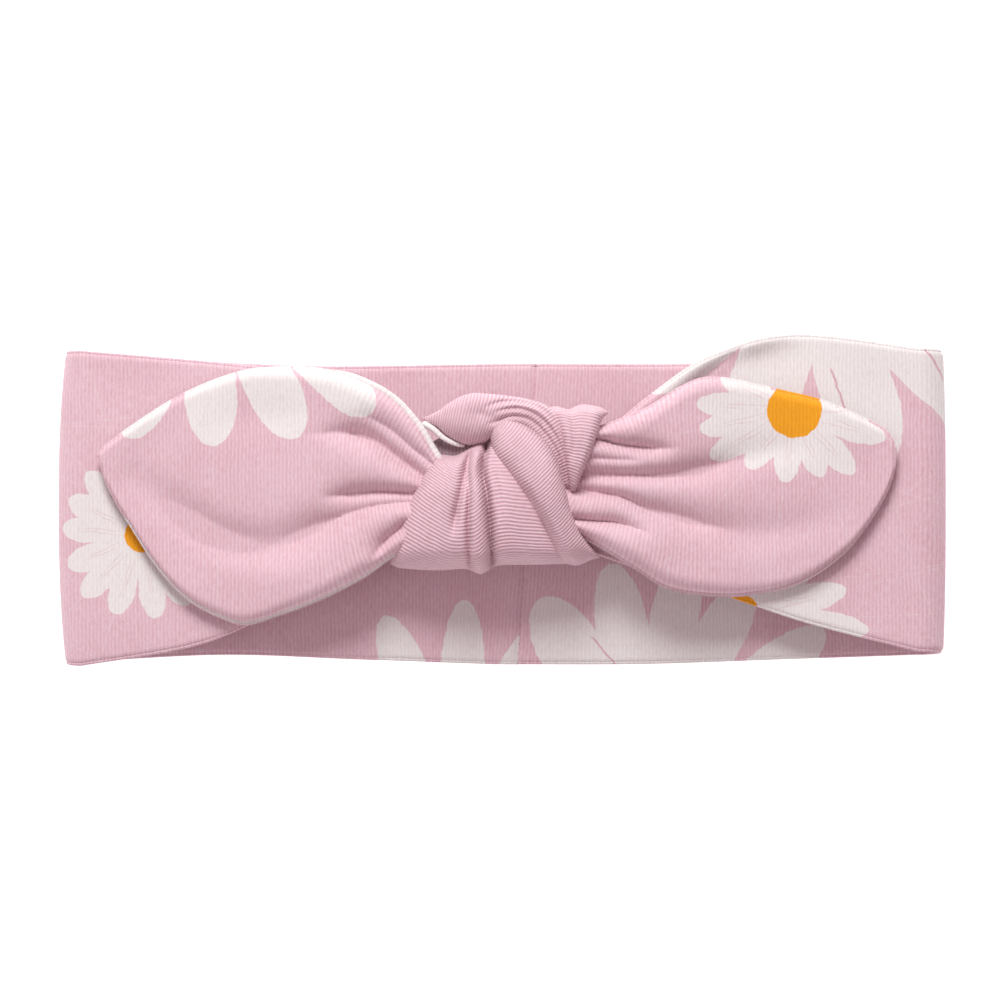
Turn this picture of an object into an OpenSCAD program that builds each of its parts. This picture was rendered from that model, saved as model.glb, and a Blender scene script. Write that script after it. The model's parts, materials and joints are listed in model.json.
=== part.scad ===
// Knotted headband in self-lined stretch jersey, lying flat on its back layer.
// +X to the right, +Y towards the upper long edge, +Z up off the table.
// Two halves, left and right, each an outer panel and a lining panel sewn round the edge, meet in the
// centre back seam. Their tapered ends are tied in one half knot, and the tips lie to the sides as tails.

/* [Band] */
// Flat width from fold to fold
flat_w = 190; // [170:1:240]
// Thickness of one jersey panel with the air beside it
panel_t = 1; // [0.8:0.1:1.2]
// Clear gap between the back layer and the front straps
gap = 7; // [6:0.5:9]
// Width of the turned seam along each long edge
edge_w = 0.8; // [0.6:0.1:1.5]
// Width of the stitched centre back seam
back_seam_w = 0.8; // [0.6:0.1:1.5]
// Place of the centre back seam, right of the middle
back_seam_x = 6; // [0:0.5:10]

/* [Joints] */
// Distance of the back hinges from the centre
back_hinge_x = 24; // [22:0.5:28]
// Distance of the tail hinges from the centre
tail_hinge_x = 26; // [25.5:0.5:28]
// Height of the tail hinges above the table
tail_hinge_z = 15; // [14.5:0.5:16]
// Running clearance between two bodies
clearance = 0.3; // [0.25:0.05:0.5]

/* [Tails] */
// Half thickness of a tail where it leaves the knot
neck_r = 3; // [2.5:0.1:3]
// Half thickness of a tail at its tip
tip_r = 1; // [0.8:0.1:1.1]
// Height of a tail's middle where it lies on the strap
tail_lie_z = 13; // [12.8:0.1:13.5]

/* [Colours] */
// Printed jersey, outer face
outer_colour = "#dcb4c0"; // [#dcb4c0, #e6c3cd, #d3a5b3]
// Printed jersey, lining face
lining_colour = "#cfa0ae"; // [#cfa0ae, #dcb4c0, #c290a0]
// Turned seam edge and stitching
seam_colour = "#e6dcd9"; // [#e6dcd9, #dcb4c0, #f2eae6]

/* [Hidden] */

$fn = 48;
LEFT = -1;
RIGHT = 1;
band_t = 2 * panel_t;
strap_z = band_t + gap;                    // underside of the straps
fold_z = strap_z / 2 + panel_t;            // height of the fold axis
fold_r = fold_z;                           // outer radius of the fold
fold_x = flat_w / 2 - fold_r;              // distance of the fold axis from the centre
cut_span = 200;                            // longer than any edge, for cutting profiles
edge_steps = 14;                           // samples along a long edge

// Long edges as [distance from the centre, y], each one a smooth curve through its points
back_top_left = [[0, 29], [40, 28.5], [70, 30], [fold_x, 31.5]];
back_top_right = [[0, 29], [40, 29], [70, 30], [fold_x, 31.5]];
back_bottom_left = [[0, -35], [30, -34], [60, -33], [fold_x, -34.5]];
back_bottom_right = [[0, -35], [30, -35], [60, -34], [fold_x, -33]];
strap_top_left = [[20, 12], [35, 23], [45, 27], [60, 29], [fold_x, 31.5]];
strap_top_right = [[20, 12], [32, 22], [45, 30.5], [63, 35], [fold_x, 32]];
strap_bottom_left = [[20, -11], [35, -17], [52, -25.5], [66, -31], [fold_x, -35]];
strap_bottom_right = [[20, -11], [34, -16], [48, -20], [66, -26], [fold_x, -32]];
tail_top_left = [[20, 19], [30, 25.5], [42, 28], [55, 27], [68, 22], [84, 12], [86, 9]];
tail_bottom_left = [[20, -10], [32, -18], [44, -23], [54, -25.5], [65, -21.5], [76, -9.5], [86, 9]];
tail_top_right = [[20, 15], [32, 20], [45, 26], [60, 23], [72, 19.5], [82, 14.5], [84.5, 10]];
tail_bottom_right = [[20, -9], [32, -17], [46, -20], [60, -18.5], [70, -13.5], [80, -2], [84.5, 10]];

// Strands of the knot as [x, y, z, half width, half thickness]
top_loop_path = [[-17, 16.5, 13, 2, 2], [-9, 18, 17, 4, 3], [0, 18.5, 18, 4, 3.5], [10, 17.5, 17, 4.5, 3.5],
    [18, 16.5, 15, 3.5, 3]];
shoulder_path = [[18, 19, 14.5, 2.5, 2.5], [18, 12, 15.5, 4, 3.5], [16, 4, 15, 4, 3.5], [13, -2, 13, 3, 2.5]];
front_wrap_path = [[-3, 14, 17, 4.5, 3], [-6, 6, 19.5, 8, 4], [-9, -3, 19.5, 10, 4], [-11, -10, 16, 11, 3.5],
    [-11, -12.5, 12.5, 10, 2.5]];
roll_path = [[0, 15, 18, 4, 3], [6, 8, 21, 5, 4], [9, -2, 20.5, 6.5, 4], [11, -9, 17, 8.5, 3.5],
    [11, -11.5, 13, 8, 2.5]];
back_wrap_path = [[-14, -10, 11.5, 4, 2.2], [-8, -4, 9.5, 7, 2.2], [4, 4, 9.5, 7, 2.2], [14, 11, 11.5, 4, 2.2]];
core_size = [34, 22, 12];
core_pos = [0, 1, 14.5];

// ---- curves ----
function mix(a, b, t) = a + (b - a) * t;
function clamp(v, low, high) = min(max(v, low), high);

// Smooth cubic through points p[i-1] to p[i+2], at share t between p[i] and p[i+1]
function cubic(a, b, c, d, t) =
    b + 0.5 * t * (c - a + t * (2 * a - 5 * b + 4 * c - d + t * (3 * (b - c) + d - a)));

// The segment of points that holds x
function segment(points, x, i = 0) =
    i >= len(points) - 2 || x <= points[i + 1][0] ? i : segment(points, x, i + 1);

// Height of a smooth edge at distance x from the centre
function edge_y(points, x) =
    let (
        last = len(points) - 1,
        xc = clamp(x, points[0][0], points[last][0]),
        i = segment(points, xc),
        t = (xc - points[i][0]) / (points[i + 1][0] - points[i][0])
    )
    cubic(points[max(i - 1, 0)][1], points[i][1], points[i + 1][1], points[min(i + 2, last)][1], t);

// Point at share t of a smooth path through points
function path_at(points, t) =
    let (
        last = len(points) - 1,
        i = min(floor(t * last), last - 1)
    )
    cubic(points[max(i - 1, 0)], points[i], points[i + 1], points[min(i + 2, last)], t * last - i);

// ---- flat zones of the band ----
// Sample places along a long edge, which neighbouring pieces share
function places(x0, x1) = [for (i = [0 : edge_steps]) mix(x0, x1, i / edge_steps)];

// Region between two curves, each [edge, shift in y], from x0 to x1
module zone_between(side, upper, lower, x0, x1) {
    xs = places(x0, x1);
    polygon(concat(
        [for (x = xs) [side * x, edge_y(upper[0], x) + upper[1]]],
        [for (i = [edge_steps : -1 : 0]) [side * xs[i], edge_y(lower[0], xs[i]) + lower[1]]]
    ));
}

// A panel between its two strips of seam
module zone_panel(side, top, bottom, x0, x1) {
    zone_between(side, [top, -edge_w], [bottom, edge_w], x0, x1);
}

// The strips of seam along both edges
module zone_edges(side, top, bottom, x0, x1) {
    zone_between(side, [top, 0], [top, -edge_w], x0, x1);
    zone_between(side, [bottom, edge_w], [bottom, 0], x0, x1);
}

// Cuts a layer so that its inner end is round about the hinge line at x0
module round_inner_end(side, x0, x1, z_mid) {
    intersection() {
        children();
        rotate([90, 0, 0]) linear_extrude(cut_span, center = true) {
            translate([side * x0, z_mid]) circle(panel_t);
            translate([side * (x0 + x1) / 2, z_mid]) square([x1 - x0, band_t], center = true);
        }
    }
}

// Lower or upper panel, or both edge seams, of a zone that starts at a hinge
module hinged_panel(side, top, bottom, z_low, layer) {
    round_inner_end(side, back_hinge_x, fold_x, z_low + panel_t)
        translate([0, 0, z_low + layer * panel_t]) linear_extrude(panel_t)
            zone_panel(side, top, bottom, back_hinge_x - panel_t, fold_x);
}

module hinged_edges(side, top, bottom, z_low) {
    round_inner_end(side, back_hinge_x, fold_x, z_low + panel_t)
        translate([0, 0, z_low]) linear_extrude(band_t)
            zone_edges(side, top, bottom, back_hinge_x - panel_t, fold_x);
}

function back_top(side) = side == LEFT ? back_top_left : back_top_right;
function back_bottom(side) = side == LEFT ? back_bottom_left : back_bottom_right;
function strap_top(side) = side == LEFT ? strap_top_left : strap_top_right;
function strap_bottom(side) = side == LEFT ? strap_bottom_left : strap_bottom_right;

centre_x1 = back_hinge_x - panel_t - clearance;
function centre_x0(side) = back_seam_w / 2 + side * back_seam_x;

module outer_centre_back(side) {
    color(outer_colour) linear_extrude(panel_t)
        zone_panel(side, back_top(side), back_bottom(side), centre_x0(side), centre_x1);
}

module lining_centre_back(side) {
    color(lining_colour) translate([0, 0, panel_t]) linear_extrude(panel_t)
        zone_panel(side, back_top(side), back_bottom(side), centre_x0(side), centre_x1);
}

module centre_back_edge_seam(side) {
    color(seam_colour) linear_extrude(band_t)
        zone_edges(side, back_top(side), back_bottom(side), centre_x0(side), centre_x1);
}

module centre_back_seam() {
    y_low = edge_y(back_bottom_left, 0);
    y_high = edge_y(back_top_left, 0);
    color(seam_colour) translate([back_seam_x - back_seam_w / 2, y_low, 0])
        cube([back_seam_w, y_high - y_low, band_t]);
}

module outer_back(side) {
    color(outer_colour) hinged_panel(side, back_top(side), back_bottom(side), 0, 0);
}

module lining_back(side) {
    color(lining_colour) hinged_panel(side, back_top(side), back_bottom(side), 0, 1);
}

module back_edge_seam(side) {
    color(seam_colour) hinged_edges(side, back_top(side), back_bottom(side), 0);
}

module lining_strap(side) {
    color(lining_colour) hinged_panel(side, strap_top(side), strap_bottom(side), strap_z, 0);
}

module outer_strap(side) {
    color(outer_colour) hinged_panel(side, strap_top(side), strap_bottom(side), strap_z, 1);
}

module strap_edge_seam(side) {
    color(seam_colour) hinged_edges(side, strap_top(side), strap_bottom(side), strap_z);
}

// ---- folds at the two sides ----
// Half ring of one panel about the fold axis
module fold_layer(side, r_out) {
    y_low = edge_y(back_bottom(side), fold_x);
    y_high = edge_y(back_top(side), fold_x);
    translate([side * fold_x, y_high, fold_z]) rotate([90, 0, 0]) linear_extrude(y_high - y_low)
        difference() {
            circle(r_out);
            circle(r_out - panel_t);
            translate([-side * cut_span / 2, 0]) square(cut_span, center = true);
        }
}

module outer_fold(side) {
    color(outer_colour) fold_layer(side, fold_r);
}

module lining_fold(side) {
    color(lining_colour) fold_layer(side, fold_r - panel_t);
}

// ---- tails ----
tail_steps = 16;                           // rings along a tail
tail_ribs = 8;                             // spans across a tail
tip_cut = 1.2;                             // how far the blunt tip stops short of the point

// Half thickness and middle height at distance x from the centre
function tail_half(x) =
    x < tail_hinge_x
        ? sqrt(max(0.04, pow(neck_r, 2) - pow(tail_hinge_x - x, 2)))
        : lookup(x, [[tail_hinge_x, neck_r], [36, 2.1], [50, 1.3], [86, tip_r]]);
function tail_mid(x) = lookup(x, [[tail_hinge_x, tail_hinge_z], [36, 14.1], [52, tail_lie_z]]);

// Thickness share across the tail, thin at both edges
function crown(v) = 0.35 + 0.65 * sqrt(max(0, 1 - pow(2 * v - 1, 2)));

// Loft between heights low and high, in half thicknesses from the middle, from share v0 to v1 across.
// v0 and v1 count from the top edge where they are positive millimetres, and from the bottom otherwise.
module tail_loft(side, top, bottom, tip_x, low, high, from_top, to_top) {
    x_start = tail_hinge_x - neck_r + 0.02;
    xs = [for (i = [0 : tail_steps]) mix(x_start, tip_x - tip_cut, sin(90 * i / tail_steps))];
    rows = [for (x = xs)
        let (
            y_top = edge_y(top, x),
            y_bottom = edge_y(bottom, x),
            width = y_top - y_bottom,
            a = from_top >= 0 ? from_top : width + from_top,
            b = to_top >= 0 ? to_top : width + to_top
        )
        [for (j = [0 : tail_ribs])
            let (v = mix(a, b, j / tail_ribs) / width)
            [side * x, y_top - v * width, tail_mid(x), tail_half(x) * crown(v)]
        ]
    ];
    ring = tail_ribs + 1;
    count = len(xs) * ring;
    function lid(k) = [for (row = rows) for (p = row) [p[0], p[1], p[2] + k * p[3]]];
    function id(layer, i, j) = layer * count + i * ring + j;
    skin = [for (i = [0 : tail_steps - 1]) for (j = [0 : tail_ribs - 1]) each [
        [id(1, i, j), id(1, i, j + 1), id(1, i + 1, j + 1)], [id(1, i, j), id(1, i + 1, j + 1), id(1, i + 1, j)],
        [id(0, i, j), id(0, i + 1, j + 1), id(0, i, j + 1)], [id(0, i, j), id(0, i + 1, j), id(0, i + 1, j + 1)]
    ]];
    long_walls = [for (i = [0 : tail_steps - 1]) each [
        [id(0, i, 0), id(1, i, 0), id(1, i + 1, 0)], [id(0, i, 0), id(1, i + 1, 0), id(0, i + 1, 0)],
        [id(0, i, tail_ribs), id(1, i + 1, tail_ribs), id(1, i, tail_ribs)],
        [id(0, i, tail_ribs), id(0, i + 1, tail_ribs), id(1, i + 1, tail_ribs)]
    ]];
    end_walls = [for (j = [0 : tail_ribs - 1]) each [
        [id(0, 0, j), id(1, 0, j + 1), id(1, 0, j)], [id(0, 0, j), id(0, 0, j + 1), id(1, 0, j + 1)],
        [id(0, tail_steps, j), id(1, tail_steps, j), id(1, tail_steps, j + 1)],
        [id(0, tail_steps, j), id(1, tail_steps, j + 1), id(0, tail_steps, j + 1)]
    ]];
    faces = concat(skin, long_walls, end_walls);
    flipped = [for (f = faces) [f[2], f[1], f[0]]];
    polyhedron(concat(lid(low), lid(high)), side == RIGHT ? faces : flipped);
}

module tail_zone(side, low, high, from_top, to_top) {
    if (side == LEFT)
        tail_loft(side, tail_top_left, tail_bottom_left, 86, low, high, from_top, to_top);
    else
        tail_loft(side, tail_top_right, tail_bottom_right, 84.5, low, high, from_top, to_top);
}

module outer_tail(side) {
    color(outer_colour) tail_zone(side, 0, 1, edge_w, -edge_w);
}

module lining_tail(side) {
    color(lining_colour) tail_zone(side, -1, 0, edge_w, -edge_w);
}

module tail_edge_seam(side) {
    color(seam_colour) {
        tail_zone(side, -1, 1, 0, edge_w);
        tail_zone(side, -1, 1, -edge_w, -0.01);
    }
}

// ---- knot ----
strand_steps = 16;                         // rings along a strand
strand_sides = 16;                         // corners of each ring

// One gathered strand, an oval tube that lies flat side up along a smooth path
module strand(points) {
    stations = [for (i = [0 : strand_steps]) path_at(points, i / strand_steps)];
    rings = [for (i = [0 : strand_steps])
        let (
            before = stations[max(i - 1, 0)],
            after = stations[min(i + 1, strand_steps)],
            along = [after[0] - before[0], after[1] - before[1], after[2] - before[2]],
            ahead = along / norm(along),
            across = cross([0, 0, 1], ahead),
            wide = across / norm(across),
            up = cross(ahead, wide),
            s = stations[i]
        )
        for (k = [0 : strand_sides - 1])
            let (a = 360 * k / strand_sides)
            [s[0], s[1], s[2]] + wide * s[3] * cos(a) + up * s[4] * sin(a)
    ];
    function at(i, k) = i * strand_sides + k % strand_sides;
    walls = [for (i = [0 : strand_steps - 1]) for (k = [0 : strand_sides - 1]) each [
        [at(i, k), at(i + 1, k), at(i + 1, k + 1)], [at(i, k), at(i + 1, k + 1), at(i, k + 1)]
    ]];
    first_end = [[for (k = [0 : strand_sides - 1]) at(0, k)]];
    last_end = [[for (k = [strand_sides - 1 : -1 : 0]) at(strand_steps, k)]];
    polyhedron(rings, concat(walls, first_end, last_end));
}

module knot_top_loop() {
    color(outer_colour) strand(top_loop_path);
}

module knot_right_shoulder() {
    color(outer_colour) strand(shoulder_path);
}

module knot_front_wrap() {
    color(outer_colour) strand(front_wrap_path);
}

module knot_diagonal_roll() {
    color(outer_colour) strand(roll_path);
}

module knot_back_wrap() {
    color(outer_colour) strand(back_wrap_path);
}

// Lining of both strands, gathered inside the knot
module knot_lining_core() {
    color(lining_colour) translate(core_pos) resize(core_size) sphere(d = 1, $fn = 24);
}

outer_centre_back(LEFT);  // left_outer_centre_back
lining_centre_back(LEFT);  // left_lining_centre_back
centre_back_edge_seam(LEFT);  // left_centre_back_edge_seam
outer_centre_back(RIGHT);  // right_outer_centre_back
lining_centre_back(RIGHT);  // right_lining_centre_back
centre_back_edge_seam(RIGHT);  // right_centre_back_edge_seam
centre_back_seam();
outer_back(LEFT);  // left_outer_back
lining_back(LEFT);  // left_lining_back
back_edge_seam(LEFT);  // left_back_edge_seam
outer_back(RIGHT);  // right_outer_back
lining_back(RIGHT);  // right_lining_back
back_edge_seam(RIGHT);  // right_back_edge_seam
outer_fold(LEFT);  // left_outer_fold
lining_fold(LEFT);  // left_lining_fold
outer_fold(RIGHT);  // right_outer_fold
lining_fold(RIGHT);  // right_lining_fold
outer_strap(LEFT);  // left_outer_strap
lining_strap(LEFT);  // left_lining_strap
strap_edge_seam(LEFT);  // left_strap_edge_seam
outer_strap(RIGHT);  // right_outer_strap
lining_strap(RIGHT);  // right_lining_strap
strap_edge_seam(RIGHT);  // right_strap_edge_seam
knot_top_loop();
knot_right_shoulder();
knot_front_wrap();
knot_diagonal_roll();
knot_back_wrap();
knot_lining_core();
outer_tail(LEFT);  // left_outer_tail
lining_tail(LEFT);  // left_lining_tail
tail_edge_seam(LEFT);  // left_tail_edge_seam
outer_tail(RIGHT);  // right_outer_tail
lining_tail(RIGHT);  // right_lining_tail
tail_edge_seam(RIGHT);  // right_tail_edge_seam
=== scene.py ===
import json
import math

import bmesh
import bpy
import numpy as np
from bpy.props import FloatProperty, FloatVectorProperty, PointerProperty
from mathutils import Matrix, Vector


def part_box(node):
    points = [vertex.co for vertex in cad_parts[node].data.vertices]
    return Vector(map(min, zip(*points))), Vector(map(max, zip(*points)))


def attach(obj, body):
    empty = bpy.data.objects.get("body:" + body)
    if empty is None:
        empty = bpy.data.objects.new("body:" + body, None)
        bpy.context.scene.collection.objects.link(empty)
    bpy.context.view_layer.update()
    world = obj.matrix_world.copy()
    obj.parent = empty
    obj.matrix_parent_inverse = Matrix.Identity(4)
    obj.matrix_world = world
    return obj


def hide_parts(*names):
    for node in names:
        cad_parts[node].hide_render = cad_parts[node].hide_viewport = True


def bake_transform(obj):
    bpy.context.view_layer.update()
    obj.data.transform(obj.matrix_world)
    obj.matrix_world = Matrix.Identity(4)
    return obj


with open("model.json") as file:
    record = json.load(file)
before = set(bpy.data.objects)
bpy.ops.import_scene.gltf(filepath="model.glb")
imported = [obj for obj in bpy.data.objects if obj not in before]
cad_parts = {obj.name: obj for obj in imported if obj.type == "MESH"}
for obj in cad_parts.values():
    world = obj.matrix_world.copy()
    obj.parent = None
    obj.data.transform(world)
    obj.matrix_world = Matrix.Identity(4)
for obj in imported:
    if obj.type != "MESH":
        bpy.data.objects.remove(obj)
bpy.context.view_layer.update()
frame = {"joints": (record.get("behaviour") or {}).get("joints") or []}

bl_info = {
    "name": "Knotted headband",
    "version": (1, 0, 0),
    "blender": (4, 5, 0),
    "location": "3D View > Sidebar > Headband",
    "description": "Builds a self-lined jersey headband with a tied front knot, in its printed cloth",
    "category": "Add Mesh",
}

MM = 0.001                                   # the shapes below are worked out in millimetres
SIDES = {"left": -1, "right": 1}
MERGE_GAP = 0.004                            # points closer together than this are merged, mm


def joint_place(name):
    """Where a joint's axis lies, in millimetres."""
    joint = next(j for j in frame["joints"] if j["name"] == name)
    return np.array(joint["pos_m"]) / MM


# Heights and lengths that the frame settles
BACK_Z = joint_place("left_back_opens")[2]
FOLD_X = abs(joint_place("left_side_fold")[0])
FOLD_Z = joint_place("left_side_fold")[2]
FOLD_R = FOLD_Z - BACK_Z                      # from the fold axis to the middle of the cloth
FOLD_LENGTH = math.pi * FOLD_R
SEAM_X = np.mean([corner[0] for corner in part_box("centre_back_seam")]) / MM
RING_STOP = 2 * FOLD_X + FOLD_LENGTH         # the way round from the centre back to the centre front
FOLD_PIECE_X = 80.0                          # where the fold pieces join the flat ones
STRAP_START = RING_STOP - FOLD_PIECE_X       # the way round to where a fold joins its strap
CUT_EDGE_ANGLE = 1.2                         # edges sharper than this are shaded as cut edges, radians


# ---------------------------------------------------------------------------- curves and surfaces


def smooth_curve(points, share):
    """Places at the given shares, 0 to 1, along a smooth curve through the points."""
    p = np.array(points, float)
    last = len(p) - 1
    t = np.clip(np.asarray(share, float), 0, 1) * last
    i = np.minimum(t.astype(int), last - 1)
    f = (t - i)[:, None]
    a, b, c, d = p[np.maximum(i - 1, 0)], p[i], p[i + 1], p[np.minimum(i + 2, last)]
    return b + 0.5 * f * (c - a + f * (2 * a - 5 * b + 4 * c - d + f * (3 * (b - c) + d - a)))


class Edge:
    """An edge of a panel: its y at a distance x from the centre."""

    def __init__(self, *points):
        dense = smooth_curve(points, np.linspace(0, 1, 400))
        order = np.argsort(dense[:, 0])
        self.x, self.y = dense[order, 0], dense[order, 1]

    def __call__(self, x):
        return np.interp(x, self.x, self.y)


def round_off(distance, radius):
    """Rises from 0 at an edge to 1 at radius inside it, as a quarter circle does."""
    t = np.clip(np.asarray(distance, float) / radius, 0, 1)
    return np.sqrt(1 - (1 - t) ** 2)


def ease(value, low, high):
    """Goes smoothly from 0 at low to 1 at high."""
    t = np.clip((np.asarray(value, float) - low) / (high - low), 0, 1)
    return t * t * (3 - 2 * t)


def run_along(steps):
    """The length run up to each point of a line, from the lengths of its steps."""
    return np.concatenate([[0], np.cumsum(steps)])


def shares_across(count, edge=0.02):
    """Shares across a panel, closer together at both edges where the cloth rolls over."""
    inner = np.linspace(edge, 1 - edge, count)
    rim = edge * np.array([0, 0.06, 0.16, 0.3, 0.5, 0.75])
    return np.concatenate([rim, inner, 1 - rim[::-1]])


def ripple(x, y, size, seed):
    """A soft, irregular wave of height about 1, with waves about size long."""
    k = 2 * math.pi / size
    return (
        np.sin(k * (0.83 * x + 0.41 * y) + 1.7 * seed)
        * np.cos(k * (0.31 * x - 0.77 * y) + 0.9 * seed)
        + 0.5 * np.sin(k * (1.61 * x - 0.53 * y) + 2.3 * seed)
        * np.cos(k * (0.47 * x + 1.37 * y) + 3.1 * seed)
    ) / 1.5


def nearest_on_route(x, y, route):
    """For each place, its distance from a smooth line and how far along that line it is, 0 to 1."""
    line = smooth_curve(route, np.linspace(0, 1, 80))
    gap = np.hypot(x[..., None] - line[:, 0], y[..., None] - line[:, 1])
    return np.min(gap, axis=-1), np.argmin(gap, axis=-1) / (len(line) - 1)


def crease(x, y, route, depth, width):
    """How far a crease along route draws the cloth in. It fades and widens away from its first point."""
    gap, share = nearest_on_route(x, y, route)
    strength = 1 - ease(share, 0.65, 1.0) * 0.98
    return depth * strength * np.exp(-gap / (width * (1 + 1.2 * share)))


def valley(x, y, route, depth, width):
    """A broad, soft hollow along route that fades out at both ends."""
    gap, share = nearest_on_route(x, y, route)
    strength = np.sin(math.pi * np.clip(0.12 + 0.76 * share, 0, 1))
    return depth * strength * np.exp(-(gap / width) ** 2)


# ---------------------------------------------------------------------------- meshes


def grid_quads(rows, columns, flip=False, wrap=False):
    """Faces of a grid of points, row by row; wrap joins the last column to the first."""
    spans = columns if wrap else columns - 1
    i, j = np.meshgrid(np.arange(rows - 1), np.arange(spans), indexing="ij")
    here, beside = i * columns + j, i * columns + (j + 1) % columns
    corners = [here, beside, beside + columns, here + columns]
    if flip:
        corners.reverse()
    return np.stack([c.ravel() for c in corners], axis=1)


def new_piece(name, points, quads, cloth):
    """A mesh object from points in millimetres. cloth is each point's place on the flat cloth."""
    mesh = bpy.data.meshes.new(name)
    mesh.from_pydata((points.reshape(-1, 3) * MM).tolist(), [], quads.tolist())
    flat = np.zeros((len(mesh.vertices), 3), np.float32)
    flat[:, : cloth.shape[-1]] = cloth.reshape(-1, cloth.shape[-1])
    mesh.attributes.new("cloth", "FLOAT_VECTOR", "POINT").data.foreach_set("vector", flat.ravel())
    mesh.update()
    piece = bpy.data.objects.new(name, mesh)
    bpy.context.scene.collection.objects.link(piece)
    return piece


def select_only(piece):
    bpy.ops.object.select_all(action="DESELECT")
    piece.select_set(True)
    bpy.context.view_layer.objects.active = piece


def apply_modifier(piece, kind, **settings):
    """Adds a modifier with these settings and applies it."""
    modifier = piece.modifiers.new(kind.title(), kind)
    for key, value in settings.items():
        setattr(modifier, key, value)
    select_only(piece)
    bpy.ops.object.modifier_apply(modifier=modifier.name)


def close_and_smooth(piece):
    """Merges doubled points, points the faces outwards and shades the piece smooth."""
    work = bmesh.new()
    work.from_mesh(piece.data)
    bmesh.ops.remove_doubles(work, verts=work.verts, dist=MERGE_GAP * MM)
    bmesh.ops.recalc_face_normals(work, faces=work.faces)
    work.to_mesh(piece.data)
    work.free()
    piece.data.polygons.foreach_set("use_smooth", np.ones(len(piece.data.polygons), bool))
    piece.data.update()


def give_thickness(piece):
    """Turns a surface into cloth of the jersey's thickness, on the side away from its normals."""
    thickness = bpy.context.scene.headband_cloth.thickness
    apply_modifier(piece, "SOLIDIFY", thickness=thickness, offset=-1, use_even_offset=False)
    close_and_smooth(piece)
    select_only(piece)
    bpy.ops.object.shade_smooth_by_angle(angle=CUT_EDGE_ANGLE)


def tube_piece(name, route, radius, cloth, sides=10, taper=True):
    """A rolled edge: a thin tube along route, with round ends."""
    route = np.array(route, float)
    count = len(route)
    ahead = np.gradient(route, axis=0)
    ahead /= np.linalg.norm(ahead, axis=1)[:, None]
    across = np.cross(ahead, [0.0, 0.0, 1.0])
    across /= np.maximum(np.linalg.norm(across, axis=1), 1e-6)[:, None]
    up = np.cross(across, ahead)
    run = run_along(np.linalg.norm(np.diff(route, axis=0), axis=1))
    size = np.broadcast_to(radius, (count,)).astype(float)
    if taper:
        size = size * round_off(np.minimum(run, run[-1] - run) + 0.02, size.max())
    angle = np.linspace(0, 2 * math.pi, sides, endpoint=False)
    ring = across[:, None] * np.cos(angle)[None, :, None] + up[:, None] * np.sin(angle)[None, :, None]
    points = route[:, None] + ring * size[:, None, None]
    flat = np.repeat(np.array(cloth, float)[:, None], sides, axis=1)
    piece = new_piece(name, points, grid_quads(count, sides, wrap=True), flat)
    cap_ends(piece)
    close_and_smooth(piece)
    return piece


def cap_ends(piece):
    """Fills the open rings at the two ends of a tube."""
    work = bmesh.new()
    work.from_mesh(piece.data)
    bmesh.ops.remove_doubles(work, verts=work.verts, dist=MERGE_GAP * MM)
    bmesh.ops.holes_fill(work, edges=[e for e in work.edges if e.is_boundary])
    work.to_mesh(piece.data)
    work.free()


# ---------------------------------------------------------------------------- materials


class Value:
    """A number that varies over a surface. Arithmetic on it adds shader nodes."""

    def __init__(self, nodes, socket):
        self.nodes, self.socket = nodes, socket

    def _with(self, operation, *others):
        return self.nodes.math(operation, self, *others)

    def __add__(self, other):
        return self._with("ADD", other)

    __radd__ = __add__

    def __mul__(self, other):
        return self._with("MULTIPLY", other)

    __rmul__ = __mul__

    def __sub__(self, other):
        return self._with("SUBTRACT", other)

    def __rsub__(self, other):
        return self.nodes.math("SUBTRACT", other, self)

    def __truediv__(self, other):
        return self._with("DIVIDE", other)

    def __rtruediv__(self, other):
        return self.nodes.math("DIVIDE", other, self)

    def least(self, other):
        return self._with("MINIMUM", other)

    def most(self, other):
        return self._with("MAXIMUM", other)

    def size(self):
        return self._with("ABSOLUTE")

    def root(self):
        return self._with("SQRT")

    def cos(self):
        return self._with("COSINE")

    def clamped(self):
        return self.most(0.0).least(1.0)


class Nodes:
    """Adds nodes to one tree, a material's or a group's."""

    def __init__(self, tree):
        self.tree = tree

    def node(self, kind, settings=None, inputs=None):
        """The one place that makes a node: its settings first, then its sockets by name or number."""
        made = self.tree.nodes.new(kind)
        for key, value in (settings or {}).items():
            setattr(made, key, value)
        for key, value in (inputs or {}).items():
            if isinstance(value, Value):
                value = value.socket
            if isinstance(value, bpy.types.NodeSocket):
                self.tree.links.new(value, made.inputs[key])
            else:
                made.inputs[key].default_value = value
        return made

    def math(self, operation, *values):
        made = self.node("ShaderNodeMath", {"operation": operation}, dict(enumerate(values)))
        return Value(self, made.outputs[0])

    def noise(self, place, scale, detail=2.0, stretch=(1.0, 1.0, 1.0)):
        """Smooth noise about 0.5, over a vector that is stretched first."""
        stretched = self.node("ShaderNodeVectorMath", {"operation": "MULTIPLY"}, {0: place, 1: stretch})
        made = self.node(
            "ShaderNodeTexNoise", inputs={"Vector": stretched.outputs[0], "Scale": scale, "Detail": detail}
        )
        return Value(self, made.outputs[0])

    def mix(self, share, first, second):
        """Mixes two colours, each a socket or a plain colour."""
        made = self.node(
            "ShaderNodeMix",
            {"data_type": "RGBA", "clamp_factor": True},
            {0: share, 6: as_colour(first), 7: as_colour(second)},
        )
        return made.outputs[2]

    def group(self, tree, **inputs):
        """A copy of a shared group of nodes. Returns its outputs by name."""
        made = self.node("ShaderNodeGroup", {"node_tree": tree}, inputs)
        return {output.name: Value(self, output) for output in made.outputs}


def as_colour(value):
    """A plain colour with its alpha; sockets pass through."""
    if isinstance(value, bpy.types.NodeSocket):
        return value
    return (*tuple(value)[:3], 1.0)


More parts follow.
